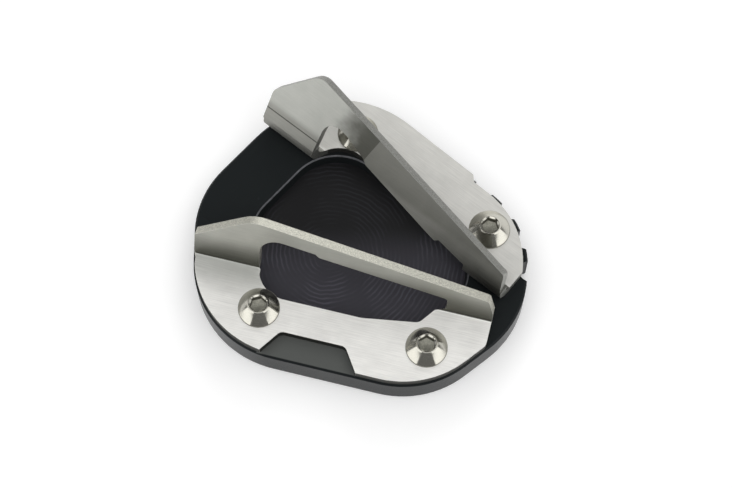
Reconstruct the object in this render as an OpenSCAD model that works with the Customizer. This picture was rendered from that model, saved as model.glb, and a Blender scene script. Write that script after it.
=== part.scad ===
/* [Base plate] */
// Thickness of the base plate
base_h = 9; // [8:0.5:14]
// Direction that the front side faces, in degrees from +X
front_dir = -104; // [-108:1:-100]
// Distance of the front side from the origin
front_reach = 35.2; // [33:0.1:38]
// Direction that the front right side faces
front_right_dir = -52; // [-56:1:-48]
// Distance of the front right side from the origin
front_right_reach = 41.1; // [40:0.1:44]
// Direction that the right side faces
right_dir = -6; // [-10:1:-2]
// Distance of the right side from the origin
right_reach = 42.4; // [41:0.1:45]
// Direction that the back right side faces
back_right_dir = 49; // [46:1:52]
// Distance of the back right side from the origin
back_right_reach = 33.4; // [32:0.1:36]
// Direction that the back left side faces
back_left_dir = 138; // [134:1:142]
// Distance of the back left side from the origin
back_left_reach = 43.2; // [41:0.1:46]
// Direction that the left side faces
left_dir = 180; // [176:1:184]
// Distance of the left side from the origin
left_reach = 44.8; // [42:0.1:48]
// Radius of the front left corner
front_left_r = 27.5; // [24:0.1:30]
// Radius of the corner between the front and the front right side
front_r = 26; // [24:0.1:32]
// Radius of the corner between the front right and the right side
right_r = 27; // [22:0.5:30]
// Radius of the corner between the right and the back right side
tooth_corner_r = 26; // [24:0.5:30]
// Radius of the back corner
back_r = 29; // [26:0.5:34]
// Radius of the corner between the back left and the left side
left_r = 26; // [20:0.5:30]
// Chamfer along the top and bottom edges of the base plate
edge_chamfer = 0.5; // [0.2:0.1:0.8]

/* [Foot pocket] */
// Width of the rim between the outline and the pocket for the stand's foot
pocket_rim = 16; // [14:0.5:17]
// Depth of the pocket
pocket_depth = 3; // [2:0.25:4]
// Chamfer along the mouth of the pocket
pocket_chamfer = 0.6; // [0.2:0.1:0.7]

/* [Grip scallops] */
// Number of scallops cut into the right edge
scallop_count = 4; // [2:1:5]
// Radius of one scallop
scallop_r = 2.8; // [2:0.1:3.5]
// Distance from the outline to the centre of a scallop
scallop_offset = 0.5; // [0:0.1:1]
// Direction of the first scallop from the centre of the corner
scallop_first = -5.2; // [-8:0.1:-3]
// Angle from one scallop to the next
scallop_pitch = 19.8; // [18:0.1:20.5]

/* [Front cut-out] */
// Place of the cut-out's middle along the front clamp
cutout_shift = -6.8; // [-10:0.2:-4]
// Width of the cut-out at its inner edge
cutout_inner_w = 17; // [12:0.2:20]
// Width of the cut-out at the front side
cutout_outer_w = 26; // [20:0.2:28]
// Distance from the front side to the cut-out's inner edge
cutout_depth = 6.7; // [5:0.1:7]
// Radius of the cut-out's inner corners
cutout_r = 2; // [1:0.5:3]

/* [Clamp plates] */
// Thickness of the sheet
sheet_t = 2.5; // [2:0.25:3]
// Radius on the inside of the bend
bend_r = 2.5; // [1.5:0.25:3]
// Distance from the origin to the axis of the bend
bend_reach = 14.5; // [13.5:0.1:15.5]
// Direction that the rear clamp's flange faces
rear_dir = 51; // [48:1:54]
// Angle of the front bend
front_bend = 72; // [65:1:80]
// Angle of the rear bend
rear_bend = 126; // [118:1:130]
// Distance from the middle of a clamp to its right end
end_reach = 36.2; // [34:0.1:37.5]
// Distance from the base plate's outline to the front flange's edge
front_margin = 0.5; // [0.5:0.1:1.5]
// Distance from the base plate's outline to the rear flange's edge at the scallops
scallop_margin = 1.5; // [1.2:0.1:2]
// Place along the rear clamp where that wider margin begins
scallop_margin_start = 9.2; // [8:0.1:13]
// Radius of the front flange's right corner
front_corner_r = 2; // [1:0.5:4]
// Radius of the rear flange's right corner
rear_corner_r = 5; // [3:0.5:7]

/* [Front upright] */
// Height of the left end above the bend
front_left_h = 5.1; // [4:0.1:8]
// Height of the peak above the bend
front_peak_h = 15.1; // [14:0.1:18]
// Place of the peak along the clamp
front_peak_x = -27.6; // [-31:0.1:-26]
// Radius of the peak
front_peak_r = 8; // [3:0.5:9]
// Height of the right end above the bend
front_right_h = 5.2; // [4.5:0.1:7]
// Height of the window's top left corner above the bend
front_window_h = 10.2; // [9:0.1:11]
// Height of the window's right end above the bend
front_window_end_h = 2.5; // [1.5:0.1:3]

/* [Rear upright] */
// Height of the left end above the bend
rear_left_h = 7.8; // [6:0.1:10]
// Height of the peak above the bend
rear_peak_h = 19.6; // [17:0.2:22]
// Place of the peak along the clamp
rear_peak_x = -32.5; // [-34:0.1:-30]
// Radius of the peak
rear_peak_r = 4; // [3:0.5:5]
// Height of the right end above the bend
rear_right_h = 3.5; // [3.2:0.1:6]
// Height of the window's top left corner above the bend
rear_window_h = 11; // [9.5:0.1:12]
// Height of the window's right end against the bend, below the bend's upper edge
rear_window_end_h = -1.2; // [-2:0.1:-0.5]

/* [Windows] */
// Distance from the origin to the front window's edge in the flange
front_window_reach = 20; // [18.5:0.1:20.5]
// Distance from the origin to the rear window's edge in the flange
rear_window_reach = 18.7; // [17.5:0.1:20.5]
// Place where a window's outer edge begins to slant in, and the radius there
window_slant_x = 3.8; // [2:0.2:6]
window_slant_r = 12; // [6:1:20]
// Place of the corner before a window's right end
window_corner_x = 18.1; // [17:0.1:20]
// How far that corner lies in from the window's outer edge
window_corner_in = 2.3; // [1:0.1:3]
// Distance from the origin to the foot of the edge after that corner
window_foot_reach = 11.9; // [11:0.1:13]
// Radius of a window's left corner in the flange
window_left_r = 8.6; // [6:0.2:10]
// Radius of a window's right corner in the flange
window_right_r = 2.5; // [1:0.5:4]
// Distance from the middle of the front clamp to the left end of its window
front_window_left = 25.3; // [24:0.1:26.5]
// Distance from the middle of the front clamp to the right end of its window
front_window_right = 24.2; // [22:0.1:25.5]
// Distance from the middle of the rear clamp to the left end of its window
rear_window_left = 26; // [24.5:0.1:27]
// Distance from the middle of the rear clamp to the right end of its window
rear_window_right = 24; // [22:0.1:26]
// Height of the small step in each window's upper edge
window_step = 1; // [0.6:0.1:1.4]
// Radius of the front window's corner below the peak
front_window_r = 5.2; // [3:0.2:6]
// Radius of the rear window's corner below the peak
rear_window_r = 4; // [2:0.5:5]

/* [Screws] */
// Thread diameter
screw_d = 6; // [5:1:6]
// Length below the head
screw_length = 10; // [8:1:10]
// Diameter of the button head
head_d = 10.5; // [9.5:0.5:11.5]
// Height of the button head
head_h = 3.3; // [2.75:0.05:3.6]
// Width across the flats of the hexagon socket
socket_w = 4; // [3:0.5:4]
// Depth of the socket
socket_depth = 2.2; // [1.5:0.1:2.4]
// Distance between the two screws of a clamp
screw_spacing = 44; // [42:0.5:46]
// Distance from the origin to the line of the front clamp's screws
front_screw_reach = 23.7; // [23.2:0.1:24.5]
// Distance from the origin to the line of the rear clamp's screws
rear_screw_reach = 23.3; // [22.8:0.1:24.5]
// Shift of the front pair along its clamp
front_screw_shift = -0.3; // [-0.8:0.1:0.4]
// Shift of the rear pair along its clamp
rear_screw_shift = 0.4; // [-0.4:0.1:0.8]
// Diameter of the screw holes in the clamps
clearance_d = 6.6; // [6.4:0.1:7]
// Diametral gap between a screw and its tapped hole
thread_gap = 0.1; // [0.05:0.05:0.2]

/* [Hidden] */
$fn = 96;
// Every cut runs this far past the face that it opens
past = 1;
outer_bend_r = bend_r + sheet_t;
upright_far = max(front_peak_h, rear_peak_h) + past;
flange_far = max(left_reach, back_left_reach) + past;
// Depth below the bend's upper edge that takes in the whole bend
below_bend = outer_bend_r + past;
thread_tip = 0.8;
// Thickness left under the tapped holes
hole_floor = 1;
// Each clamp: direction of its flange, whether it is mirrored, place of the middle of its pair of
// screws and how far each tightened screw is turned, left one first
front = [front_dir, false, [front_screw_reach, front_screw_shift], [0, 14]];
rear = [rear_dir, true, [rear_screw_reach, rear_screw_shift], [10, 9]];
// The flat top of a button head is this share of its diameter
head_flat = 0.5;
small_r = 0.6;
// Arcs above this radius get finer steps
large_r = 8;
// Foot of each small step in the windows' upper edges: place along the clamp and height above the bend
front_step = [-9.8, 7.1];
rear_upper_step = [-11.4, 5.7];
rear_lower_step = [14.2, -0.6];
// Place and height where the rear window's upper edge starts to fall more steeply
rear_shoulder = [-19, 9.4];
shoulder_r = 4;
// Distance from the middle of the front clamp to its left end
front_left_x = left_reach - 2.2;
// Distance from the middle of the rear clamp to its left end, at the bend and at its widest
rear_left_x = back_left_reach - 0.5;
rear_wide_x = back_left_reach - 0.1;
rear_left_r = 3;
// Height up to which the uprights' right ends stand square
front_square_h = 0.6;
rear_square_h = -3;
right_end_r = 1;
// Lean of the uprights' right ends, from the bend's lower edge to their top
end_lean = 1.6;
// Sides in order round the outline: direction and distance
sides = [
    [front_dir, front_reach], [front_right_dir, front_right_reach], [right_dir, right_reach],
    [back_right_dir, back_right_reach], [back_left_dir, back_left_reach], [left_dir, left_reach]
];
// Each corner lies between the side of the same number and the next one
corner_r = [front_r, right_r, tooth_corner_r, back_r, left_r, front_left_r];
side_count = len(sides);
// Number of the corner that has the scallops
tooth_corner = 2;

function next_side(i) = sides[(i + 1) % side_count];
function unit(angle) = [cos(angle), sin(angle)];
// Where two lines meet, each given by the direction it faces and its distance
function meet(a, b) =
    [a[1] * sin(b[0]) - b[1] * sin(a[0]), b[1] * cos(a[0]) - a[1] * cos(b[0])] / sin(b[0] - a[0]);
// Centre of each corner's arc, the same for every rim that runs parallel to the outline
centres = [for (i = [0:side_count - 1])
    meet([sides[i][0], sides[i][1] - corner_r[i]], [next_side(i)[0], next_side(i)[1] - corner_r[i]])];

// Points of an arc, in steps that are finer on a large one
function arc(centre, r, from, to) =
    let (steps = ceil(abs(to - from) / (r > large_r ? 4 : 12)))
    [for (i = [0:steps]) centre + r * unit(from + (to - from) * i / steps)];

// Outline with round corners that runs parallel to the base plate's edge, rim inside it
module outline(rim) {
    polygon([for (i = [0:side_count - 1]) let (from = sides[i][0], to = next_side(i)[0])
        each arc(centres[i], corner_r[i] - rim, from, to > from ? to : to + 360)]);
}

// Solid with walls along the outline, each given by its rim, foot and top, and chamfers between them
module walls(rims) {
    hull() for (wall = rims)
        translate([0, 0, wall[1]]) linear_extrude(wall[2] - wall[1]) outline(wall[0]);
}

// Points of a polygon's corner p between its neighbours, rounded to its third number as radius.
// The polygon is listed anticlockwise.
function step_to(p, q) = ([q[0], q[1]] - [p[0], p[1]]) / norm([q[0] - p[0], q[1] - p[1]]);
function round_corner(before, p, after) =
    let (
        back = step_to(p, before),
        ahead = step_to(p, after),
        half = acos(back * ahead) / 2,
        centre = [p[0], p[1]] + (back + ahead) / norm(back + ahead) * p[2] / sin(half),
        middle = atan2(-back[1] - ahead[1], -back[0] - ahead[0]),
        sweep = (cross(ahead, back) > 0 ? 1 : -1) * (90 - half)
    )
    p[2] == 0 ? [[p[0], p[1]]] : arc(centre, p[2], middle - sweep, middle + sweep);

module rounded(points) {
    n = len(points);
    polygon([for (i = [0:n - 1])
        each round_corner(points[(i + n - 1) % n], points[i], points[(i + 1) % n])]);
}

// Frame of a clamp: X away from its bend over the flange, Y along the bend to the right,
// Z up from the base plate's top
module in_clamp(clamp) {
    translate([0, 0, base_h]) rotate(clamp[0]) mirror([0, clamp[1] ? 1 : 0, 0]) children();
}

// The base plate's outline seen in a clamp's frame
module outline_in_clamp(clamp, rim) {
    mirror([0, clamp[1] ? 1 : 0, 0]) rotate(-clamp[0]) outline(rim);
}

// Places of a clamp's two screws in its frame
module at_screws(clamp) {
    for (i = [0, 1]) translate(concat(clamp[2] + [0, (i - 0.5) * screw_spacing], [0]))
        rotate(clamp[3][i]) children();
}

// Frame of an upright: X along the bend, Y up from the bend's upper edge, Z through the sheet
module in_upright(bend) {
    translate([bend_reach, 0, outer_bend_r]) rotate([0, bend, 0]) translate([0, 0, -outer_bend_r])
        rotate(90) children();
}

// Endless folded sheet: flange, bend and upright in one section
module folded_sheet(bend) {
    axis = [bend_reach, outer_bend_r];
    end = unit(-90 - bend);
    up = upright_far * [-cos(bend), sin(bend)];
    rotate([90, 0, 0]) translate([0, 0, -flange_far]) linear_extrude(2 * flange_far)
        polygon(concat(
            [[flange_far, sheet_t], [flange_far, 0]], arc(axis, outer_bend_r, -90, -90 - bend),
            [axis + outer_bend_r * end + up, axis + bend_r * end + up],
            arc(axis, bend_r, -90 - bend, -90)
        ));
}

// Bent sheet with its upright, its window across the bend and its screw holes.
// The children give the flange's outline in the clamp's frame.
module bent_plate(clamp, bend, upright, window, flange_window) {
    bend_top = outer_bend_r - bend_r * cos(bend);
    intersection() {
        folded_sheet(bend);
        linear_extrude(bend_top) difference() {
            children();
            rounded(flange_window);
            at_screws(clamp) circle(d = clearance_d);
        }
    }
    intersection() {
        folded_sheet(bend);
        in_upright(bend) translate([0, 0, -past]) linear_extrude(sheet_t + 2 * past) difference() {
            rounded(upright);
            rounded(window);
        }
        translate([-flange_far, -flange_far, bend_top]) cube(2 * flange_far);
    }
}

// Ends of a flange: square on the left, with a round corner on the right against the side it meets
module flange_end(side_angle, side_reach, left_end, corner_radius) {
    corner = [(side_reach - end_reach * sin(side_angle)) / cos(side_angle), end_reach];
    rounded([
        [-past, -left_end, 0], [2 * flange_far, -left_end, 0],
        concat(corner + 2 * flange_far * [sin(side_angle), -cos(side_angle)], [0]),
        concat(corner, [corner_radius]), [-past, end_reach, 0]
    ]);
}

// Cut-out in the outer edge of the front flange, where the base plate shows
module cutout() {
    inner_x = front_reach - cutout_depth;
    outer_x = front_reach + past;
    flare = (cutout_outer_w - cutout_inner_w) / 2 / cutout_depth;
    inner_half = cutout_inner_w / 2;
    outer_half = inner_half + flare * (outer_x - inner_x);
    translate([0, cutout_shift]) rounded([
        [inner_x, inner_half, cutout_r], [inner_x, -inner_half, cutout_r],
        [outer_x, -outer_half, 0], [outer_x, outer_half, 0]
    ]);
}

module base_plate() {
    color("#232425") difference() {
        walls([[0, edge_chamfer, base_h - edge_chamfer], [edge_chamfer, 0, base_h]]);
        walls([
            [pocket_rim, base_h - pocket_depth, base_h - pocket_chamfer],
            [pocket_rim - pocket_chamfer, base_h, base_h + past]
        ]);
        for (i = [0:scallop_count - 1])
            translate(concat(centres[tooth_corner], [-past])) rotate(scallop_first + i * scallop_pitch)
                translate([tooth_corner_r + scallop_offset, 0, 0])
                    cylinder(h = base_h + 2 * past, r = scallop_r);
        for (clamp = [front, rear]) in_clamp(clamp) at_screws(clamp)
            translate([0, 0, hole_floor - base_h])
                cylinder(h = base_h - hole_floor + past, d = screw_d + thread_gap);
    }
}

// Window in a flange, from the bend out to its reach, between its left and right end
function flange_window(reach, left, right) = [
    [0, -left, 0], [reach, -left, window_left_r], [reach, window_slant_x, window_slant_r],
    [reach - window_corner_in, window_corner_x, window_right_r],
    [window_foot_reach, right, small_r], [0, right, 0]
];

// Small step in a window's upper edge, from its foot up by its height on the given side
function step_points(foot, side) =
    let (top = foot + window_step * [side, 1])
    side > 0 ? [concat(top, [small_r]), concat(foot, [small_r])]
        : [concat(foot, [small_r]), concat(top, [small_r])];

module front_clamp() {
    color("#d8d7d1") in_clamp(front)
        bent_plate(front, front_bend,
            [
                [-front_left_x, -outer_bend_r, 0], [end_reach, -outer_bend_r, 0],
                [end_reach, front_square_h, 0], [end_reach - end_lean, front_right_h, right_end_r],
                [front_peak_x, front_peak_h, front_peak_r], [-front_left_x, front_left_h, small_r]
            ],
            concat(
                [
                    [-front_window_left, -below_bend, 0], [front_window_right, -below_bend, 0],
                    [front_window_right, front_window_end_h, right_end_r]
                ],
                step_points(front_step, -1),
                [[-front_window_left, front_window_h, front_window_r]]
            ),
            flange_window(front_window_reach, front_window_left, front_window_right)
        )
            difference() {
                intersection() {
                    outline_in_clamp(front, front_margin);
                    flange_end(front_right_dir - front_dir, front_right_reach - front_margin,
                        front_left_x, front_corner_r);
                }
                cutout();
            }
}

module rear_clamp() {
    color("#c3c3be") in_clamp(rear)
        bent_plate(rear, rear_bend,
            [
                [-rear_left_x, -outer_bend_r, 0], [end_reach, -outer_bend_r, 0],
                [end_reach, rear_square_h, 0], [end_reach - end_lean, rear_right_h, right_end_r],
                [rear_peak_x, rear_peak_h, rear_peak_r], [-rear_wide_x, rear_left_h, rear_left_r]
            ],
            concat(
                [
                    [-rear_window_left, -below_bend, 0], [rear_window_right, -below_bend, 0],
                    [rear_window_right, rear_window_end_h, small_r]
                ],
                step_points(rear_lower_step, 1),
                step_points(rear_upper_step, -1),
                [
                    concat(rear_shoulder, [shoulder_r]),
                    [-rear_window_left, rear_window_h, rear_window_r]
                ]
            ),
            flange_window(rear_window_reach, rear_window_left, rear_window_right)
        )
            intersection() {
                union() {
                    outline_in_clamp(rear, scallop_margin);
                    intersection() {
                        outline_in_clamp(rear, 0);
                        polygon([
                            [0, -flange_far], [flange_far, -flange_far],
                            [flange_far, scallop_margin_start + back_right_reach - flange_far],
                            [0, scallop_margin_start + back_right_reach]
                        ]);
                    }
                }
                flange_end(rear_dir - right_dir, right_reach - front_margin, rear_left_x, rear_corner_r);
            }
}

// Button head screw with a hexagon socket, its head resting on Z = 0
module screw() {
    flat_r = head_flat * head_d / 2;
    dome_z = (head_h * head_h + flat_r * flat_r - head_d * head_d / 4) / (2 * head_h);
    dome_r = norm([head_d / 2, dome_z]);
    difference() {
        union() {
            rotate_extrude() intersection() {
                translate([0, dome_z]) circle(dome_r);
                square([head_d / 2, head_h]);
            }
            translate([0, 0, thread_tip - screw_length])
                cylinder(h = screw_length - thread_tip, d = screw_d);
            translate([0, 0, -screw_length])
                cylinder(h = thread_tip, d1 = screw_d - 2 * thread_tip, d2 = screw_d);
        }
        translate([0, 0, head_h - socket_depth])
            cylinder(h = socket_depth + past, d = socket_w / cos(30), $fn = 6);
    }
}

module clamp_screws() {
    color("#b9b8b2") for (clamp = [front, rear])
        in_clamp(clamp) at_screws(clamp) translate([0, 0, sheet_t]) screw();
}

base_plate();
front_clamp();
rear_clamp();
clamp_screws();
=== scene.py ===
import math

import bmesh
import bpy
from mathutils import Matrix, Vector


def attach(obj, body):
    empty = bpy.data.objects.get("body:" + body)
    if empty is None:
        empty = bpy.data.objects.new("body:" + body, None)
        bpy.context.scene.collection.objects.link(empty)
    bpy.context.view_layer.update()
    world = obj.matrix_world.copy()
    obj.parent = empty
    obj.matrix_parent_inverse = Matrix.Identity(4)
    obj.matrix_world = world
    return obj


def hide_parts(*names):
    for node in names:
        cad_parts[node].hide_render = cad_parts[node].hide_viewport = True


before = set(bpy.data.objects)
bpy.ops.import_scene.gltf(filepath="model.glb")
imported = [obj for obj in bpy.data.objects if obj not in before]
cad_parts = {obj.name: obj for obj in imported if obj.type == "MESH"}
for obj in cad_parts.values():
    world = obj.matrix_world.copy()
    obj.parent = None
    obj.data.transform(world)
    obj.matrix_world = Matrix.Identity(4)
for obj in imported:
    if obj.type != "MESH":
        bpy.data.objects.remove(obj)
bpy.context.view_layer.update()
mm = 0.001
scene = bpy.context.scene
print("frame loaded:", sorted(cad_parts))


def linear(hexColour):
    parts = [int(hexColour[i:i + 2], 16) / 255 for i in (1, 3, 5)]
    return [p / 12.92 if p <= 0.04045 else ((p + 0.055) / 1.055) ** 2.4 for p in parts] + [1]


def addNode(material, kind, inputs=None, links=None, **settings):
    node = material.node_tree.nodes.new(kind)
    for name, value in settings.items():
        setattr(node, name, value)
    for key, value in (inputs or {}).items():
        node.inputs[key].default_value = value
    for key, socket in (links or {}).items():
        material.node_tree.links.new(socket, node.inputs[key])
    return node


def newMaterial(name):
    material = bpy.data.materials.new(name)
    material.use_nodes = True
    return material, material.node_tree.nodes["Principled BSDF"]


def join(material, output, shader, key):
    material.node_tree.links.new(output, shader.inputs[key])


# Sizes that the clamps and the base share, in mm
sheet = 2.5         # thickness of the clamps' sheet
plateTop = 9.0      # height of the base's top face
bendRadius = 5.0    # outer radius of both bends

# Both clamps as the CAD has them, in mm and degrees: direction the flange faces, reach of the
# bend's axis, bend, screw places, and turn of each screw's socket. pinched is the radius that the
# press leaves inside the fold, or 0 where the CAD's radius stays
clampFrames = {
    "front_clamp": {
        "facing": -104, "flipped": False, "bendReach": 14.5, "bend": 72, "pinched": 0.9,
        "screwReach": 23.7, "screwShift": -0.3, "screwTurns": (0, 14),
    },
    "rear_clamp": {
        "facing": 51, "flipped": True, "bendReach": 14.5, "bend": 126, "pinched": 0,
        "screwReach": 23.3, "screwShift": 0.4, "screwTurns": (10, 9),
    },
}

noiseLow, noiseHigh = 0.3, 0.7      # nearly all values of a noise texture lie between these
acrossLines = 0.25                  # quarter turn: fine lines draw highlights out across them

# Black anodised aluminium, blasted first: near black from above, grey where it mirrors the floor
# at a low angle
anodised = {
    "colour": "#1e2122", "ior": 1.4, "specular": 0.12,
    "roughness": 0.24, "glossier": 0.04, "duller": 0.05,    # and how far its patches differ
    "patchSize": 18,            # mm, size of those patches
    "blastGrain": 0.25,         # mm, coarser than real blasting so that it shows
    "grainDepth": 0.02, "grainStrength": 0.12,
    "etched": "#565856",        # plain field, its place in mm from the middle towards the front
    "fieldMiddle": -6.8, "fieldHalf": 13.5, "fieldFrom": 27.6, "fieldTo": 34.75,
    "fieldFade": 0.3, "fieldFrontFade": 0.2,
}


def anodisedAluminium():
    material, shader = newMaterial("anodised aluminium")
    shader.inputs["IOR"].default_value = anodised["ior"]
    shader.inputs["Specular IOR Level"].default_value = anodised["specular"]
    place = addNode(material, "ShaderNodeTexCoord")
    grain = addNode(material, "ShaderNodeTexNoise",
                    {"Scale": 1 / (anodised["blastGrain"] * mm), "Detail": 3, "Roughness": 0.6},
                    {"Vector": place.outputs["Object"]})
    patches = addNode(material, "ShaderNodeTexNoise",
                      {"Scale": 1 / (anodised["patchSize"] * mm), "Detail": 2},
                      {"Vector": place.outputs["Object"]})
    rough = addNode(material, "ShaderNodeMapRange",
                    {"From Min": noiseLow, "From Max": noiseHigh,
                     "To Min": anodised["roughness"] - anodised["glossier"],
                     "To Max": anodised["roughness"] + anodised["duller"]},
                    {"Value": patches.outputs["Fac"]})
    # Plain etched field on the top face inside the front clamp's cut-out
    towardsFront = math.radians(-clampFrames["front_clamp"]["facing"])
    swung = addNode(material, "ShaderNodeMapping", {"Rotation": (0, 0, towardsFront)},
                    {"Vector": place.outputs["Object"]})
    axes = addNode(material, "ShaderNodeSeparateXYZ", links={"Vector": swung.outputs["Vector"]})
    shifted = addNode(material, "ShaderNodeMath", {1: -anodised["fieldMiddle"] * mm},
                      {0: axes.outputs["Y"]}, operation="ADD")
    across = addNode(material, "ShaderNodeMath", links={0: shifted.outputs[0]},
                     operation="ABSOLUTE")
    half, start, end = anodised["fieldHalf"], anodised["fieldFrom"], anodised["fieldTo"]
    inside = addNode(material, "ShaderNodeMapRange",
                     {"From Min": half * mm, "From Max": (half - anodised["fieldFade"]) * mm},
                     {"Value": across.outputs[0]})
    behind = addNode(material, "ShaderNodeMapRange",
                     {"From Min": start * mm, "From Max": (start + anodised["fieldFade"]) * mm},
                     {"Value": axes.outputs["X"]})
    before = addNode(material, "ShaderNodeMapRange",
                     {"From Min": end * mm, "From Max": (end - anodised["fieldFrontFade"]) * mm},
                     {"Value": axes.outputs["X"]})
    strip = addNode(material, "ShaderNodeMath",
                    links={0: inside.outputs[0], 1: behind.outputs[0]}, operation="MULTIPLY")
    field = addNode(material, "ShaderNodeMath",
                    links={0: strip.outputs[0], 1: before.outputs[0]}, operation="MULTIPLY")
    colour = addNode(material, "ShaderNodeMix",
                     {6: linear(anodised["colour"]), 7: linear(anodised["etched"])},
                     {0: field.outputs[0]}, data_type="RGBA")
    bump = addNode(material, "ShaderNodeBump",
                   {"Strength": anodised["grainStrength"], "Distance": anodised["grainDepth"] * mm},
                   {"Height": grain.outputs["Fac"]})
    join(material, colour.outputs[2], shader, "Base Color")
    join(material, rough.outputs[0], shader, "Roughness")
    join(material, bump.outputs[0], shader, "Normal")
    return material


# Pocket floor, milled and then dyed dark: faint rings from a flat cutter catch the light
milled = {
    "near": "#323137", "far": "#101012", "nearLine": "#47464e", "farLine": "#222226",
    "nearTo": -4, "farFrom": 8,     # mm, where the near tone ends and the far tone, painted shade, is full
    "roughness": 0.4, "duller": 0.04, "glossier": 0.08, "specular": 0.3,
    "ringStep": 1.2,                # mm, wider apart than a real cutter leaves them, to show
    "middle": (-9.5, -0.5),         # mm, middle of the rings
    "waver": 7, "ringDepth": 0.03, "ringStrength": 0.06,
    "crestFrom": 0.45,              # share of a ring's height from which it catches the light
    "patchSize": 9,                 # mm, size of the patches where the rings show
    "patchFrom": 0.46, "patchTo": 0.66, "faintest": 0.05, "strongest": 0.9,
}
waveLength = 2 * math.pi / 20       # what one ring of Blender's wave texture takes at scale 1


def milledPocket():
    material, shader = newMaterial("milled anodised pocket")
    shader.inputs["IOR"].default_value = anodised["ior"]
    shader.inputs["Specular IOR Level"].default_value = milled["specular"]
    place = addNode(material, "ShaderNodeTexCoord")
    centred = addNode(material, "ShaderNodeMapping",
                      {"Location": (-milled["middle"][0] * mm, -milled["middle"][1] * mm, 0)},
                      {"Vector": place.outputs["Object"]})
    rings = addNode(material, "ShaderNodeTexWave",
                    {"Scale": waveLength / (milled["ringStep"] * mm),
                     "Distortion": milled["waver"],
                     "Detail": 3, "Detail Scale": 0.35, "Detail Roughness": 0.6},
                    {"Vector": centred.outputs[0]}, wave_type="RINGS", rings_direction="Z",
                    wave_profile="SIN")
    patches = addNode(material, "ShaderNodeTexNoise",
                      {"Scale": 1 / (milled["patchSize"] * mm), "Detail": 2, "Roughness": 0.5},
                      {"Vector": place.outputs["Object"]})
    crest = addNode(material, "ShaderNodeMapRange",
                    {"From Min": milled["crestFrom"], "From Max": 1.0},
                    {"Value": rings.outputs["Fac"]}, interpolation_type="SMOOTHSTEP")
    where = addNode(material, "ShaderNodeMapRange",
                    {"From Min": milled["patchFrom"], "From Max": milled["patchTo"],
                     "To Min": milled["faintest"], "To Max": milled["strongest"]},
                    {"Value": patches.outputs["Fac"]})
    lit = addNode(material, "ShaderNodeMath", links={0: crest.outputs[0], 1: where.outputs[0]},
                  operation="MULTIPLY")
    # Painted shade: darker at the far end, under the rear clamp
    axes = addNode(material, "ShaderNodeSeparateXYZ", links={"Vector": place.outputs["Object"]})
    farther = addNode(material, "ShaderNodeMapRange",
                      {"From Min": milled["nearTo"] * mm, "From Max": milled["farFrom"] * mm},
                      {"Value": axes.outputs["Y"]}, interpolation_type="SMOOTHSTEP")
    ground = addNode(material, "ShaderNodeMix",
                     {6: linear(milled["near"]), 7: linear(milled["far"])},
                     {0: farther.outputs[0]}, data_type="RGBA")
    line = addNode(material, "ShaderNodeMix",
                   {6: linear(milled["nearLine"]), 7: linear(milled["farLine"])},
                   {0: farther.outputs[0]}, data_type="RGBA")
    shade = addNode(material, "ShaderNodeMix",
                    links={0: lit.outputs[0], 6: ground.outputs[2], 7: line.outputs[2]},
                    data_type="RGBA")
    rough = addNode(material, "ShaderNodeMapRange",
                    {"To Min": milled["roughness"] + milled["duller"],
                     "To Max": milled["roughness"] - milled["glossier"]},
                    {"Value": lit.outputs[0]})
    bump = addNode(material, "ShaderNodeBump",
                   {"Strength": milled["ringStrength"], "Distance": milled["ringDepth"] * mm},
                   {"Height": rings.outputs["Fac"]})
    join(material, shade.outputs[2], shader, "Base Color")
    join(material, rough.outputs[0], shader, "Roughness")
    join(material, bump.outputs[0], shader, "Normal")
    return material


# Chamfer round the pocket's mouth: a thin light line of painted highlight, uneven from tool chatter
chamfer = {
    "dark": "#3a3b3e", "light": "#7d7e82", "metallic": 0.4, "roughness": 0.35,
    "chatter": 1.5,     # mm, size of the light and dark places
}


def machinedChamfer():
    material, shader = newMaterial("machined chamfer")
    shader.inputs["Metallic"].default_value = chamfer["metallic"]
    shader.inputs["Roughness"].default_value = chamfer["roughness"]
    place = addNode(material, "ShaderNodeTexCoord")
    chatter = addNode(material, "ShaderNodeTexNoise",
                      {"Scale": 1 / (chamfer["chatter"] * mm), "Detail": 2},
                      {"Vector": place.outputs["Object"]})
    shade = addNode(material, "ShaderNodeMix",
                    {6: linear(chamfer["dark"]), 7: linear(chamfer["light"])},
                    {0: chatter.outputs["Fac"]}, data_type="RGBA")
    join(material, shade.outputs[2], shader, "Base Color")
    return material


# Stainless sheet brushed along the bend: fine lines that run lengthwise, highlights drawn out
# across them. Sizes are in mm on the unfolded sheet, where x runs along the bend and y across it
brushed = {
    "roughness": 0.48, "spread": 0.05, "anisotropy": 0.5,
    "lineWidth": 0.2, "lineLength": 9,      # coarser than real brush lines so that they show
    "lineLow": 0.3, "lineHigh": 0.75,       # nearly all values of the lines lie between these
    "lineDepth": 0.006, "lineStrength": 0.1,
    "contrast": 0.1, "streakLow": 0.5, "streakHigh": 1.0, "cloudShare": 0.5,
    "cloudSize": 6, "wander": 7.0,          # patches, and how far they push the edges of tones
    "flangeStart": 13.4,                    # y past which the flange's own tone starts
    "creaseShadeFrom": 24, "creaseShadeTo": 13.5,         # y over which painted shade beside the crease darkens the flange
    "creaseShadeRight": -12, "creaseShadeLeft": -26,      # x over which it does so
    "reflectionSlant": -0.23, "foldFade": 6, "endStrength": 0.8,
}
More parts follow.
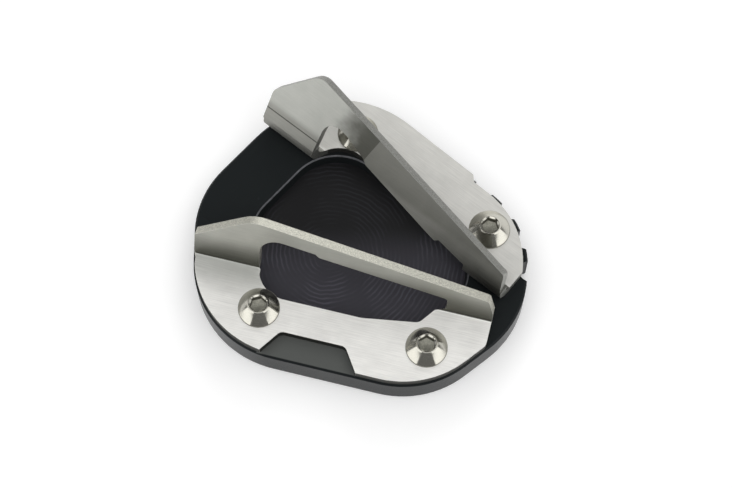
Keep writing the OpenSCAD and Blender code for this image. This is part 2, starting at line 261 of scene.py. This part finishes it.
# Tones of each clamp: its flange with painted shade by the crease, the upright from the top down to
# its foot painted darker as shade, the painted shade line at the fold, the right part painted
# darker as a reflection of the front clamp and black base, the far end's painted reflection, then
# cut edges, rims and cuts painted dark as shade
sheetTones = {
    "front_clamp": {
        "flange": "#f8f7f3", "creaseShadeTone": "#c6c7c2",
        "uprightTop": "#bebeb6", "uprightFoot": "#6a6a62", "footFrom": 10.4, "footTo": 1.5,
        "fold": "#4a4a44", "foldFrom": 13.2, "foldTo": 11.4, "foldEnd": -90,
        "rightTone": "#bebeb6", "rightFrom": 60, "rightTo": 80,
        "reflectionTone": "#bebeb6", "reflectionFrom": 80,
        "endTone": "#aaaaa2", "endFrom": -60, "endTo": -80,
        "cut": "#dddcd0", "rim": "#f2f1ec", "shadedCut": "#4a4a46",
    },
    "rear_clamp": {
        "flange": "#e0dfda", "creaseShadeTone": "#e0dfda",
        "uprightTop": "#bebfb9", "uprightFoot": "#9e9e98", "footFrom": 3.4, "footTo": 1.0,
        "fold": "#5e5e59", "foldFrom": 4.15, "foldTo": 3.8, "foldEnd": 14,
        "rightTone": "#888882", "rightFrom": 25, "rightTo": 15,
        "reflectionTone": "#62625c", "reflectionFrom": 12.45,
        "endTone": "#4c4c47", "endFrom": -4, "endTo": -34,
        "cut": "#adada8", "rim": "#c9c9c5", "shadedCut": "#6e6e69",
    },
}


def brushedSteel(name, tones):
    material, shader = newMaterial(name)
    shader.inputs["Metallic"].default_value = 1
    shader.inputs["Anisotropic"].default_value = brushed["anisotropy"]
    shader.inputs["Anisotropic Rotation"].default_value = acrossLines
    place = addNode(material, "ShaderNodeUVMap", uv_map="sheet")
    lengthwise = addNode(material, "ShaderNodeTangent", direction_type="UV_MAP", uv_map="sheet")
    axes = addNode(material, "ShaderNodeSeparateXYZ", links={"Vector": place.outputs[0]})
    drawn = addNode(material, "ShaderNodeMapping",
                    {"Scale": (1 / brushed["lineLength"], 1 / brushed["lineWidth"], 1)},
                    {"Vector": place.outputs[0]})
    lines = addNode(material, "ShaderNodeTexNoise", {"Scale": 1, "Detail": 3, "Roughness": 0.6},
                    {"Vector": drawn.outputs[0]})
    cloud = addNode(material, "ShaderNodeTexNoise",
                    {"Scale": 1 / brushed["cloudSize"], "Detail": 3, "Roughness": 0.55},
                    {"Vector": place.outputs[0]})
    # Edges between the tones wander a little with the cloud noise
    wander = addNode(material, "ShaderNodeMath", {1: brushed["wander"]},
                     {0: cloud.outputs["Fac"], 2: axes.outputs["X"]}, operation="MULTIPLY_ADD")
    halfWander = brushed["wander"] / 2
    # Painted reflection: the upright's right part is darker, for the front clamp and black base it
    # mirrors
    right = addNode(material, "ShaderNodeMapRange",
                    {"From Min": tones["rightFrom"] + halfWander,
                     "From Max": tones["rightTo"] + halfWander},
                    {"Value": wander.outputs[0]}, interpolation_type="SMOOTHSTEP")
    # Painted reflection: a darker patch with one crisp, slanting edge
    slanted = addNode(material, "ShaderNodeMath", {1: brushed["reflectionSlant"]},
                      {0: axes.outputs["Y"], 2: axes.outputs["X"]}, operation="MULTIPLY_ADD")
    inReflection = addNode(material, "ShaderNodeMath", {1: tones["reflectionFrom"]},
                      {0: slanted.outputs[0]}, operation="GREATER_THAN")
    reflected = addNode(material, "ShaderNodeMix",
                     {6: linear(tones["rightTone"]), 7: linear(tones["reflectionTone"])},
                     {0: inReflection.outputs[0]}, data_type="RGBA")
    top = addNode(material, "ShaderNodeMix", {6: linear(tones["uprightTop"])},
                  {0: right.outputs[0], 7: reflected.outputs[2]}, data_type="RGBA")
    # Painted shade: the upright darkens towards its foot
    foot = addNode(material, "ShaderNodeMapRange",
                   {"From Min": tones["footTo"], "From Max": tones["footFrom"]},
                   {"Value": axes.outputs["Y"]}, interpolation_type="SMOOTHSTEP")
    upright = addNode(material, "ShaderNodeMix", {7: linear(tones["uprightFoot"])},
                      {0: foot.outputs[0], 6: top.outputs[2]}, data_type="RGBA")
    # Painted reflection: darker still towards the far end
    end = addNode(material, "ShaderNodeMapRange",
                  {"From Min": tones["endFrom"], "From Max": tones["endTo"],
                   "To Max": brushed["endStrength"]},
                  {"Value": wander.outputs[0]})
    dimmed = addNode(material, "ShaderNodeMix", {7: linear(tones["endTone"])},
                     {0: end.outputs[0], 6: upright.outputs[2]}, data_type="RGBA")
    # Painted shade: the flange is darker beside the fold at its left end
    byFold = addNode(material, "ShaderNodeMapRange",
                     {"From Min": brushed["creaseShadeFrom"], "From Max": brushed["creaseShadeTo"]},
                     {"Value": axes.outputs["Y"]}, interpolation_type="SMOOTHSTEP")
    atLeft = addNode(material, "ShaderNodeMapRange",
                     {"From Min": brushed["creaseShadeRight"], "From Max": brushed["creaseShadeLeft"]},
                     {"Value": axes.outputs["X"]}, interpolation_type="SMOOTHSTEP")
    creaseShading = addNode(material, "ShaderNodeMath", links={0: byFold.outputs[0], 1: atLeft.outputs[0]},
                   operation="MULTIPLY")
    flange = addNode(material, "ShaderNodeMix",
                     {6: linear(tones["flange"]), 7: linear(tones["creaseShadeTone"])},
                     {0: creaseShading.outputs[0]}, data_type="RGBA")
    onFlange = addNode(material, "ShaderNodeMath", {1: brushed["flangeStart"]},
                       {0: axes.outputs["Y"]}, operation="GREATER_THAN")
    zones = addNode(material, "ShaderNodeMix",
                    links={0: onFlange.outputs[0], 6: dimmed.outputs[2], 7: flange.outputs[2]},
                    data_type="RGBA")
    # Painted shade: a dark line beside the fold, only past foldEnd
    belowFold = addNode(material, "ShaderNodeMath", {1: tones["foldFrom"]},
                        {0: axes.outputs["Y"]}, operation="LESS_THAN")
    aboveFold = addNode(material, "ShaderNodeMath", {1: tones["foldTo"]},
                        {0: axes.outputs["Y"]}, operation="GREATER_THAN")
    creased = addNode(material, "ShaderNodeMath",
                      links={0: belowFold.outputs[0], 1: aboveFold.outputs[0]},
                      operation="MULTIPLY")
    pastEnd = addNode(material, "ShaderNodeMapRange",
                      {"From Min": tones["foldEnd"],
                       "From Max": tones["foldEnd"] + brushed["foldFade"]},
                      {"Value": axes.outputs["X"]})
    inFoldShade = addNode(material, "ShaderNodeMath",
                     links={0: creased.outputs[0], 1: pastEnd.outputs[0]}, operation="MULTIPLY")
    foldShaded = addNode(material, "ShaderNodeMix", {7: linear(tones["fold"])},
                     {0: inFoldShade.outputs[0], 6: zones.outputs[2]}, data_type="RGBA")
    # Streaks darken the tone a little, along the lines and in patches
    streaks = addNode(material, "ShaderNodeMath", {1: brushed["cloudShare"]},
                      {0: cloud.outputs["Fac"], 2: lines.outputs["Fac"]},
                      operation="MULTIPLY_ADD")
    shading = addNode(material, "ShaderNodeMapRange",
                      {"From Min": brushed["streakLow"], "From Max": brushed["streakHigh"],
                       "To Min": 1 - 2 * brushed["contrast"], "To Max": 1.0},
                      {"Value": streaks.outputs[0]})
    shade = addNode(material, "ShaderNodeMix", {6: linear("#000000")},
                    {0: shading.outputs[0], 7: foldShaded.outputs[2]}, data_type="RGBA")
    rough = addNode(material, "ShaderNodeMapRange",
                    {"From Min": brushed["lineLow"], "From Max": brushed["lineHigh"],
                     "To Min": brushed["roughness"] - brushed["spread"],
                     "To Max": brushed["roughness"] + brushed["spread"]},
                    {"Value": lines.outputs["Fac"]})
    bump = addNode(material, "ShaderNodeBump",
                   {"Strength": brushed["lineStrength"], "Distance": brushed["lineDepth"] * mm},
                   {"Height": lines.outputs["Fac"]})
    join(material, shade.outputs[2], shader, "Base Color")
    join(material, rough.outputs[0], shader, "Roughness")
    join(material, bump.outputs[0], shader, "Normal")
    join(material, lengthwise.outputs[0], shader, "Tangent")
    return material


# Laser-cut edges: fine grit that breaks the light into specks
cut = {
    "metallic": 0.9, "roughness": 0.5, "contrast": 0.46,
    "speckTone": "#2a2a28", "speckFrom": 0.36, "speckTo": 0.64,
    "grit": 0.3,        # mm, a little coarser than the real grit so that it shows
    "gritDepth": 0.04, "gritStrength": 0.35,
}


def cutSteel(name, colour):
    material, shader = newMaterial(name)
    shader.inputs["Metallic"].default_value = cut["metallic"]
    shader.inputs["Roughness"].default_value = cut["roughness"]
    place = addNode(material, "ShaderNodeTexCoord")
    grit = addNode(material, "ShaderNodeTexNoise",
                   {"Scale": 1 / (cut["grit"] * mm), "Detail": 3, "Roughness": 0.7},
                   {"Vector": place.outputs["Object"]})
    speck = addNode(material, "ShaderNodeMapRange",
                    {"From Min": cut["speckFrom"], "From Max": cut["speckTo"],
                     "To Min": 1 - cut["contrast"], "To Max": 1.0},
                    {"Value": grit.outputs["Fac"]})
    shade = addNode(material, "ShaderNodeMix",
                    {6: linear(cut["speckTone"]), 7: linear(colour)},
                    {0: speck.outputs[0]}, data_type="RGBA")
    bump = addNode(material, "ShaderNodeBump",
                   {"Strength": cut["gritStrength"], "Distance": cut["gritDepth"] * mm},
                   {"Height": grit.outputs["Fac"]})
    join(material, shade.outputs[2], shader, "Base Color")
    join(material, bump.outputs[0], shader, "Normal")
    return material


# Rims of the sheet rubbed smooth by handling: a thin bright line, glossier in some places
rubbed = {
    "wear": 1.2,        # mm, size of the glossy and dull places
    "glossy": 0.26, "dull": 0.48,
}


def rubbedRim(name, colour):
    material, shader = newMaterial(name)
    shader.inputs["Metallic"].default_value = 1
    shader.inputs["Base Color"].default_value = linear(colour)
    place = addNode(material, "ShaderNodeTexCoord")
    wear = addNode(material, "ShaderNodeTexNoise",
                   {"Scale": 1 / (rubbed["wear"] * mm), "Detail": 3},
                   {"Vector": place.outputs["Object"]})
    rough = addNode(material, "ShaderNodeMapRange",
                    {"From Min": noiseLow, "From Max": noiseHigh,
                     "To Min": rubbed["glossy"], "To Max": rubbed["dull"]},
                    {"Value": wear.outputs["Fac"]})
    join(material, rough.outputs[0], shader, "Roughness")
    return material


# Stainless button heads turned and polished: fine rings round the axis draw highlights to spokes
turned = {
    "colour": "#c0beb4", "roughness": 0.16, "spread": 0.05, "anisotropy": 0.4,
    "ringWidth": 0.12,      # mm, coarser than real turning so that it shows
    "ringBreaks": 6,        # changes in each ring on its way round
    "ringDepth": 0.005, "ringStrength": 0.1,
    "mapUnit": 10,          # mm outwards that one unit of the map stands for
}


def turnedStainless():
    material, shader = newMaterial("turned stainless")
    shader.inputs["Metallic"].default_value = 1
    shader.inputs["Base Color"].default_value = linear(turned["colour"])
    shader.inputs["Anisotropic"].default_value = turned["anisotropy"]
    shader.inputs["Anisotropic Rotation"].default_value = acrossLines
    place = addNode(material, "ShaderNodeUVMap", uv_map="turned")
    roundAxis = addNode(material, "ShaderNodeTangent", direction_type="UV_MAP", uv_map="turned")
    drawn = addNode(material, "ShaderNodeMapping",
                    {"Scale": (turned["ringBreaks"], turned["mapUnit"] / turned["ringWidth"], 1)},
                    {"Vector": place.outputs[0]})
    rings = addNode(material, "ShaderNodeTexNoise", {"Scale": 1, "Detail": 2},
                    {"Vector": drawn.outputs[0]})
    rough = addNode(material, "ShaderNodeMapRange",
                    {"From Min": noiseLow, "From Max": noiseHigh,
                     "To Min": turned["roughness"] - turned["spread"],
                     "To Max": turned["roughness"] + turned["spread"]},
                    {"Value": rings.outputs["Fac"]})
    bump = addNode(material, "ShaderNodeBump",
                   {"Strength": turned["ringStrength"], "Distance": turned["ringDepth"] * mm},
                   {"Height": rings.outputs["Fac"]})
    join(material, rough.outputs[0], shader, "Roughness")
    join(material, bump.outputs[0], shader, "Normal")
    join(material, roundAxis.outputs[0], shader, "Tangent")
    return material


# What a piece needs on its way from the CAD's loose triangles to rounded edges
finishing = {
    "mergeWithin": 0.002,   # mm between points that become one
    "flatWithin": 0.4,      # degrees between triangles that become one flat face
    "sharpFrom": 26,        # degrees at which an edge stays crisp and is rounded
    "roundingSteps": 2,
}


def copiedNode(node, name):
    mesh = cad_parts[node].data.copy()
    mesh.name = name
    form = bmesh.new()
    form.from_mesh(mesh)
    bmesh.ops.remove_doubles(form, verts=form.verts, dist=finishing["mergeWithin"] * mm)
    bmesh.ops.dissolve_limit(form, angle_limit=math.radians(finishing["flatWithin"]),
                             verts=form.verts, edges=form.edges)
    bmesh.ops.recalc_face_normals(form, faces=form.faces)
    return mesh, form


def finishPiece(mesh, form, name, node, materials, edgeRounding, roundedMaterial=-1):
    for face in form.faces:
        face.smooth = True
    mesh.materials.clear()      # before the form is written, because it resets the faces' materials
    for material in materials:
        mesh.materials.append(material)
    form.to_mesh(mesh)
    form.free()
    sharp = math.radians(finishing["sharpFrom"])
    mesh.set_sharp_from_angle(angle=sharp)
    piece = bpy.data.objects.new(name, mesh)
    scene.collection.objects.link(piece)
    rounding = piece.modifiers.new("edge rounding", "BEVEL")
    rounding.width = edgeRounding * mm
    rounding.segments = finishing["roundingSteps"]
    rounding.limit_method = "ANGLE"
    rounding.angle_limit = sharp
    rounding.material = roundedMaterial
    rounding.use_clamp_overlap = True
    rounding.harden_normals = True
    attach(piece, "root")
    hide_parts(node)
    print("piece made:", name, len(mesh.polygons))


# Base plate, sizes in mm
plate = {
    "edgeRounding": 0.12,
    "pocketFloor": 6.0, "floorWithin": 0.05,    # height, and how near it a face has to be
    "pocketMouth": 0.32,                        # chamfer round the pocket's mouth
    "topWithin": 0.02,
    "wallFrom": 0.1, "wallTo": 0.4,             # upward part of the leaning wall's normal
    "level": 0.9,                               # the same, from which a face counts as level
}


def makeBasePlate(materials):
    mesh, form = copiedNode("base_plate", "BasePlate")
    mouth = [edge for edge in form.edges
             if min(vert.co.z for vert in edge.verts) > (plateTop - plate["topWithin"]) * mm
             and any(plate["wallFrom"] < face.normal.z < plate["wallTo"]
                     for face in edge.link_faces)]
    for face in form.faces:
        fromFloor = abs(face.calc_center_median().z - plate["pocketFloor"] * mm)
        isFloor = face.normal.z > plate["level"] and fromFloor < plate["floorWithin"] * mm
        face.material_index = 1 if isFloor else 0
    # The pocket's mouth gets a chamfer in the light material, a painted highlight
    bmesh.ops.bevel(form, geom=mouth, affect="EDGES", offset=plate["pocketMouth"] * mm,
                    segments=1, profile=0.5, material=2, clamp_overlap=True)
    finishPiece(mesh, form, "BasePlate", "base_plate", materials,
                plate["edgeRounding"])


# Clamps, sizes in mm
clamp = {
    "edgeRounding": 0.28,   # rubbed rims along the cut edges
    "within": 0.01,         # how near the flange's top a face has to be
    "insideWithin": 0.03,   # how near the inside of the bend a point has to be
    "angleWithin": 0.001,   # radians, the same round the bend
    "turnedAway": 0.5,      # part of a normal that tells a cut edge from the sheet's own faces
}


def mapSheet(form, outward, along, place):
    # Map in millimetres on the unfolded sheet: along the bend, then across it
    bend = math.radians(place["bend"])
    middleRadius = bendRadius - sheet / 2
    upwards = Vector((-math.cos(bend), math.sin(bend)))
    layer = form.loops.layers.uv.new("sheet")
    for face in form.faces:
        for loop in face.loops:
            co = loop.vert.co / mm
            fromAxis = Vector((co.dot(outward) - place["bendReach"],
                               co.z - plateTop - bendRadius))
            angle = math.atan2(-fromAxis.x, -fromAxis.y) % (2 * math.pi)
            if fromAxis.x >= 0 and fromAxis.y < 0:
                across = place["bendReach"] + fromAxis.x
            elif angle < bend:
                across = place["bendReach"] - angle * middleRadius
            else:
                across = place["bendReach"] - bend * middleRadius - fromAxis.dot(upwards)
            loop[layer].uv = (co.dot(along), across)


def tightenFold(form, outward, place):
    # The press pinches the inside of the bend, so its radius shrinks about the two faces' corner
    bend = math.radians(place["bend"])
    inside = bendRadius - sheet
    corner = Vector((place["bendReach"] - inside * math.tan(bend / 2), plateTop + sheet))
    slack = clamp["angleWithin"]
    for vert in form.verts:
        spot = Vector((vert.co.dot(outward), vert.co.z)) / mm
        fromAxis = spot - Vector((place["bendReach"], plateTop + bendRadius))
        angle = math.atan2(-fromAxis.x, -fromAxis.y)
        isInside = abs(fromAxis.length - inside) < clamp["insideWithin"]
        if isInside and -slack < angle < bend + slack:
            shift = (corner - spot) * (1 - place["pinched"] / inside) * mm
            vert.co += shift.x * outward + Vector((0, 0, shift.y))


def makeClamp(node, name, materials):
    mesh, form = copiedNode(node, name)
    place = clampFrames[node]
    facing = math.radians(place["facing"])
    outward = Vector((math.cos(facing), math.sin(facing), 0))
    along = Vector((-outward.y, outward.x, 0))
    bend = math.radians(place["bend"])
    uprightNormal = -math.sin(bend) * outward - Vector((0, 0, math.cos(bend)))
    bendTop = bendRadius - (bendRadius - sheet) * math.cos(bend)
    mapSheet(form, outward, along, place)
    if place["pinched"]:
        tightenFold(form, outward, place)
    for face in form.faces:
        middle = face.calc_center_median()
        reach = middle.dot(outward) / mm
        height = middle.z / mm - plateTop
        onFlange = (height < sheet + clamp["within"]
                    and reach > place["bendReach"] - clamp["within"])
        if abs(face.normal.dot(along)) > clamp["turnedAway"]:
            isCut = True
        elif onFlange:
            isCut = abs(face.normal.z) < clamp["turnedAway"]
        elif height > bendTop:
            isCut = abs(face.normal.dot(uprightNormal)) < clamp["turnedAway"]
        else:
            isCut = False
        face.material_index = 0 if not isCut else 3 if onFlange else 1
    finishPiece(mesh, form, name, node, materials, clamp["edgeRounding"],
                roundedMaterial=2)


# Button-head screws, sizes in mm
screw = {
    "headRadius": 5.25, "headHeight": 3.3, "rimHeight": 0.35, "rimStep": (0.02, 0.05),
    "crown": 0.07,          # how far the shoulder of the head bulges from a straight cone
    "shoulderSteps": 8,
    "flatRadius": 2.58, "flatDrop": 0.2, "flatStep": 0.1,
    "socketAcross": 3.85, "mouthRadius": 2.4, "mouthDepth": 0.25, "socketDepth": 2.2,
    "drillShoulder": (0.6, 0.35), "drillPoint": 0.6,
    "seatLine": 0.13, "seatFrom": 0.005, "seatTo": 0.03,    # painted shade line round the head
    "shankRadius": 3.0, "length": 10.0, "tip": 0.8, "spacing": 44.0,
    "steps": 96, "edgeRounding": 0.08,
    "same": 0.001,          # distance up to which two points count as one
}


def screwForm():
    form = bmesh.new()
    top, half, same = screw["headHeight"], screw["socketAcross"] / 2, screw["same"] * mm
    rim, shank = screw["headRadius"], screw["shankRadius"]
    seat = rim + screw["seatLine"]
    floor = top - screw["socketDepth"]
    # The shoulder is a cone with a slight bulge that is highest halfway
    rise = top - screw["flatDrop"] - screw["rimHeight"]
    shoulder = []
    for step in range(screw["shoulderSteps"] + 1):
        share = step / screw["shoulderSteps"]
        shoulder.append((rim + (screw["flatRadius"] - rim) * share,
                         screw["rimHeight"] + rise * share
                         + screw["crown"] * 4 * share * (1 - share)))
    profile = [(0, -screw["length"]), (shank - screw["tip"], -screw["length"]),
               (shank, screw["tip"] - screw["length"]), (shank, 0),
               (seat, screw["seatFrom"]), (seat, screw["seatTo"]),
               (rim - screw["rimStep"][0], screw["rimStep"][1])]
    profile += shoulder
    profile += [(screw["flatRadius"] - screw["flatStep"], top), (screw["mouthRadius"], top)]
    socketFrom = len(profile)
    profile += [(half, top - screw["mouthDepth"]), (half, floor)]
    socketTo = len(profile)
    profile += [(half * screw["drillShoulder"][0], floor - screw["drillShoulder"][1]),
                (0, floor - screw["drillPoint"])]
    verts = [form.verts.new((r * mm, 0, z * mm)) for r, z in profile]
    heights = [z * mm for r, z in profile[socketFrom:socketTo]]
    edges = [form.edges.new(pair) for pair in zip(verts, verts[1:])]
    bmesh.ops.spin(form, geom=verts + edges, cent=(0, 0, 0), axis=(0, 0, 1), dvec=(0, 0, 0),
                   angle=2 * math.pi, steps=screw["steps"], use_merge=True)
    bmesh.ops.remove_doubles(form, verts=form.verts, dist=same)
    # The round socket is pushed out into a hexagon, each side of it 60 degrees wide
    for vert in form.verts:
        radius = math.hypot(vert.co.x, vert.co.y)
        if abs(radius - half * mm) < same and min(abs(vert.co.z - z) for z in heights) < same:
            angle = math.degrees(math.atan2(vert.co.y, vert.co.x)) % 60 - 30
            vert.co.xy *= 1 / math.cos(math.radians(angle))
    bmesh.ops.recalc_face_normals(form, faces=form.faces)
    # Map round the axis and outwards from it, for the turned rings
    layer = form.loops.layers.uv.new("turned")
    for face in form.faces:
        middle = face.calc_center_median()
        start = math.atan2(middle.y, middle.x)
        for loop in face.loops:
            x, y, z = loop.vert.co
            swing = (math.atan2(y, x) - start + math.pi) % (2 * math.pi) - math.pi
            radius = math.hypot(x, y)
            if radius < same:
                swing = 0
            loop[layer].uv = ((start + swing) / (2 * math.pi),
                              (radius - z) / (turned["mapUnit"] * mm))
        fromAxis, height = math.hypot(middle.x, middle.y) / mm, middle.z / mm
        inSocket = 0 < height < top - screw["mouthDepth"] and fromAxis < screw["mouthRadius"]
        # Painted shade: the head's lower rim and the line round it take the socket's dull material
        inSeatShade = abs(height) < screw["rimHeight"] and fromAxis > shank
        face.material_index = 1 if inSeatShade or inSocket else 0
    return form


def makeScrews(materials):
    mesh = bpy.data.meshes.new("ClampScrews")
    allScrews = bmesh.new()
    for place in clampFrames.values():
        flip = -1 if place["flipped"] else 1
        for side, turn in zip((-1, 1), place["screwTurns"]):
            form = screwForm()
            along = flip * (place["screwShift"] + side * screw["spacing"] / 2)
            spot = Matrix.Rotation(math.radians(place["facing"]), 4, "Z") @ Matrix.Translation(
                (place["screwReach"] * mm, along * mm, (plateTop + sheet) * mm))
            bmesh.ops.transform(form, verts=form.verts,
                                matrix=spot @ Matrix.Rotation(math.radians(flip * turn), 4, "Z"))
            part = bpy.data.meshes.new("one screw")
            form.to_mesh(part)
            form.free()
            allScrews.from_mesh(part)
            bpy.data.meshes.remove(part)
    finishPiece(mesh, allScrews, "ClampScrews", "clamp_screws", materials,
                screw["edgeRounding"])


makeBasePlate([anodisedAluminium(), milledPocket(), machinedChamfer()])
# Dark cuts are the cut edges at the level of the flange: painted shade, for the black base they
# mirror
for node, name, side in (("front_clamp", "FrontClamp", "front"),
                         ("rear_clamp", "RearClamp", "rear")):
    tones = sheetTones[node]
    makeClamp(node, name, [
        brushedSteel("brushed stainless " + side, tones),
        cutSteel("cut stainless " + side, tones["cut"]),
        rubbedRim("rubbed rim " + side, tones["rim"]),
        cutSteel("dark cut " + side, tones["shadedCut"]),
    ])
# The broached socket and the painted shade line round the head share a dull finish
makeScrews([turnedStainless(), cutSteel("broached socket", "#99988d")])
print("materials made:", len(bpy.data.materials))

# Floor, light and camera. Distances are in metres, angles in degrees
studio = {
    "floorColour": "#f0f0f0", "floorRadius": 6, "floorRoughness": 0.9, "floorSpecular": 0.1,
    "floorLift": 0.2,                               # strength for camera and mirrored rays only
    "floorDrop": 0.00002,                           # just under the base, so the two don't flicker
    "overhead": 1.7, "horizon": 0.18,               # strengths of the ceiling
    "fadeFrom": 0.45, "fadeTo": 0.85,               # heights on the sky between the two
    "card": 0.09, "cardFull": 10, "cardEdge": 27,   # strength of the dark card, and its reach
    "lens": 91.1, "sensor": 36, "clipStart": 0.01,
    "cameraDistance": 0.48, "cameraTilt": 68, "target": (0, 0, 0.0115),
}


# Matt pale paper: white, and just dark enough to keep the object's shadow
def makeFloor():
    form = bmesh.new()
    bmesh.ops.create_circle(form, cap_ends=True, segments=96, radius=studio["floorRadius"])
    mesh = bpy.data.meshes.new("Floor")
    form.to_mesh(mesh)
    form.free()
    material, shader = newMaterial("pale studio floor")
    shader.inputs["Base Color"].default_value = linear(studio["floorColour"])
    shader.inputs["Roughness"].default_value = studio["floorRoughness"]
    shader.inputs["Specular IOR Level"].default_value = studio["floorSpecular"]
    shader.inputs["Emission Color"].default_value = (1, 1, 1, 1)
    path = addNode(material, "ShaderNodeLightPath")
    direct = addNode(material, "ShaderNodeMath",
                     links={0: path.outputs["Is Camera Ray"], 1: path.outputs["Is Glossy Ray"]},
                     operation="MAXIMUM")
    seen = addNode(material, "ShaderNodeMath", {1: studio["floorLift"]},
                   {0: direct.outputs[0]}, operation="MULTIPLY")
    join(material, seen.outputs[0], shader, "Emission Strength")
    mesh.materials.append(material)
    floor = bpy.data.objects.new("Floor", mesh)
    floor.location.z = -studio["floorDrop"]
    scene.collection.objects.link(floor)


# Bright ceiling that fades towards the horizon, with a dark card where flat tops would mirror it
def makeWorld():
    world = bpy.data.worlds.new("soft studio")
    world.use_nodes = True
    background = world.node_tree.nodes["Background"]
    background.inputs["Color"].default_value = (1, 1, 1, 1)
    tilt = math.radians(studio["cameraTilt"])
    place = addNode(world, "ShaderNodeTexCoord")
    axes = addNode(world, "ShaderNodeSeparateXYZ", links={"Vector": place.outputs["Generated"]})
    ceiling = addNode(world, "ShaderNodeMapRange",
                      {"From Min": studio["fadeFrom"], "From Max": studio["fadeTo"],
                       "To Min": studio["horizon"], "To Max": studio["overhead"]},
                      {"Value": axes.outputs["Z"]}, interpolation_type="SMOOTHSTEP")
    towards = addNode(world, "ShaderNodeVectorMath", {1: (0, math.cos(tilt), math.sin(tilt))},
                      {0: place.outputs["Generated"]}, operation="DOT_PRODUCT")
    card = addNode(world, "ShaderNodeMapRange",
                   {"From Min": math.cos(math.radians(studio["cardEdge"])),
                    "From Max": math.cos(math.radians(studio["cardFull"])),
                    "To Min": 1, "To Max": studio["card"]},
                   {"Value": towards.outputs["Value"]}, interpolation_type="SMOOTHSTEP")
    level = addNode(world, "ShaderNodeMath", links={0: ceiling.outputs[0], 1: card.outputs[0]},
                    operation="MULTIPLY")
    world.node_tree.links.new(level.outputs[0], background.inputs["Strength"])
    scene.world = world


# Low strips at both sides draw the bright spokes on the screw heads, the box at the back lights
# the cut edges. All sizes are in metres, powers in watts
softboxes = [
    {"name": "LeftStrip", "from": (-0.89, -0.45, 0.17), "width": 1.05, "height": 0.3, "power": 1.6},
    {"name": "RightStrip", "from": (0.89, -0.45, 0.17), "width": 1.05, "height": 0.3, "power": 1.6},
    {"name": "BackSoftbox", "from": (0.13, 0.92, 0.6), "width": 0.6, "height": 0.4, "power": 1.9},
]


def makeLights():
    for box in softboxes:
        light = bpy.data.lights.new(box["name"], "AREA")
        light.shape = "RECTANGLE"
        light.size = box["width"]
        light.size_y = box["height"]
        light.energy = box["power"]
        lamp = bpy.data.objects.new(box["name"], light)
        lamp.location = box["from"]
        lamp.rotation_euler = (-Vector(box["from"])).to_track_quat("-Z", "Y").to_euler()
        scene.collection.objects.link(lamp)


def makeCamera():
    camera = bpy.data.objects.new("Camera", bpy.data.cameras.new("Camera"))
    tilt = math.radians(studio["cameraTilt"])
    camera.data.lens = studio["lens"]
    camera.data.sensor_width = studio["sensor"]
    camera.data.clip_start = studio["clipStart"]
    camera.location = Vector(studio["target"]) + studio["cameraDistance"] * Vector(
        (0, -math.cos(tilt), math.sin(tilt)))
    camera.rotation_euler = (math.pi / 2 - tilt, 0, 0)
    scene.collection.objects.link(camera)
    scene.camera = camera


makeFloor()
makeWorld()
makeLights()
makeCamera()
scene.view_settings.view_transform = "Standard"
print("studio made")
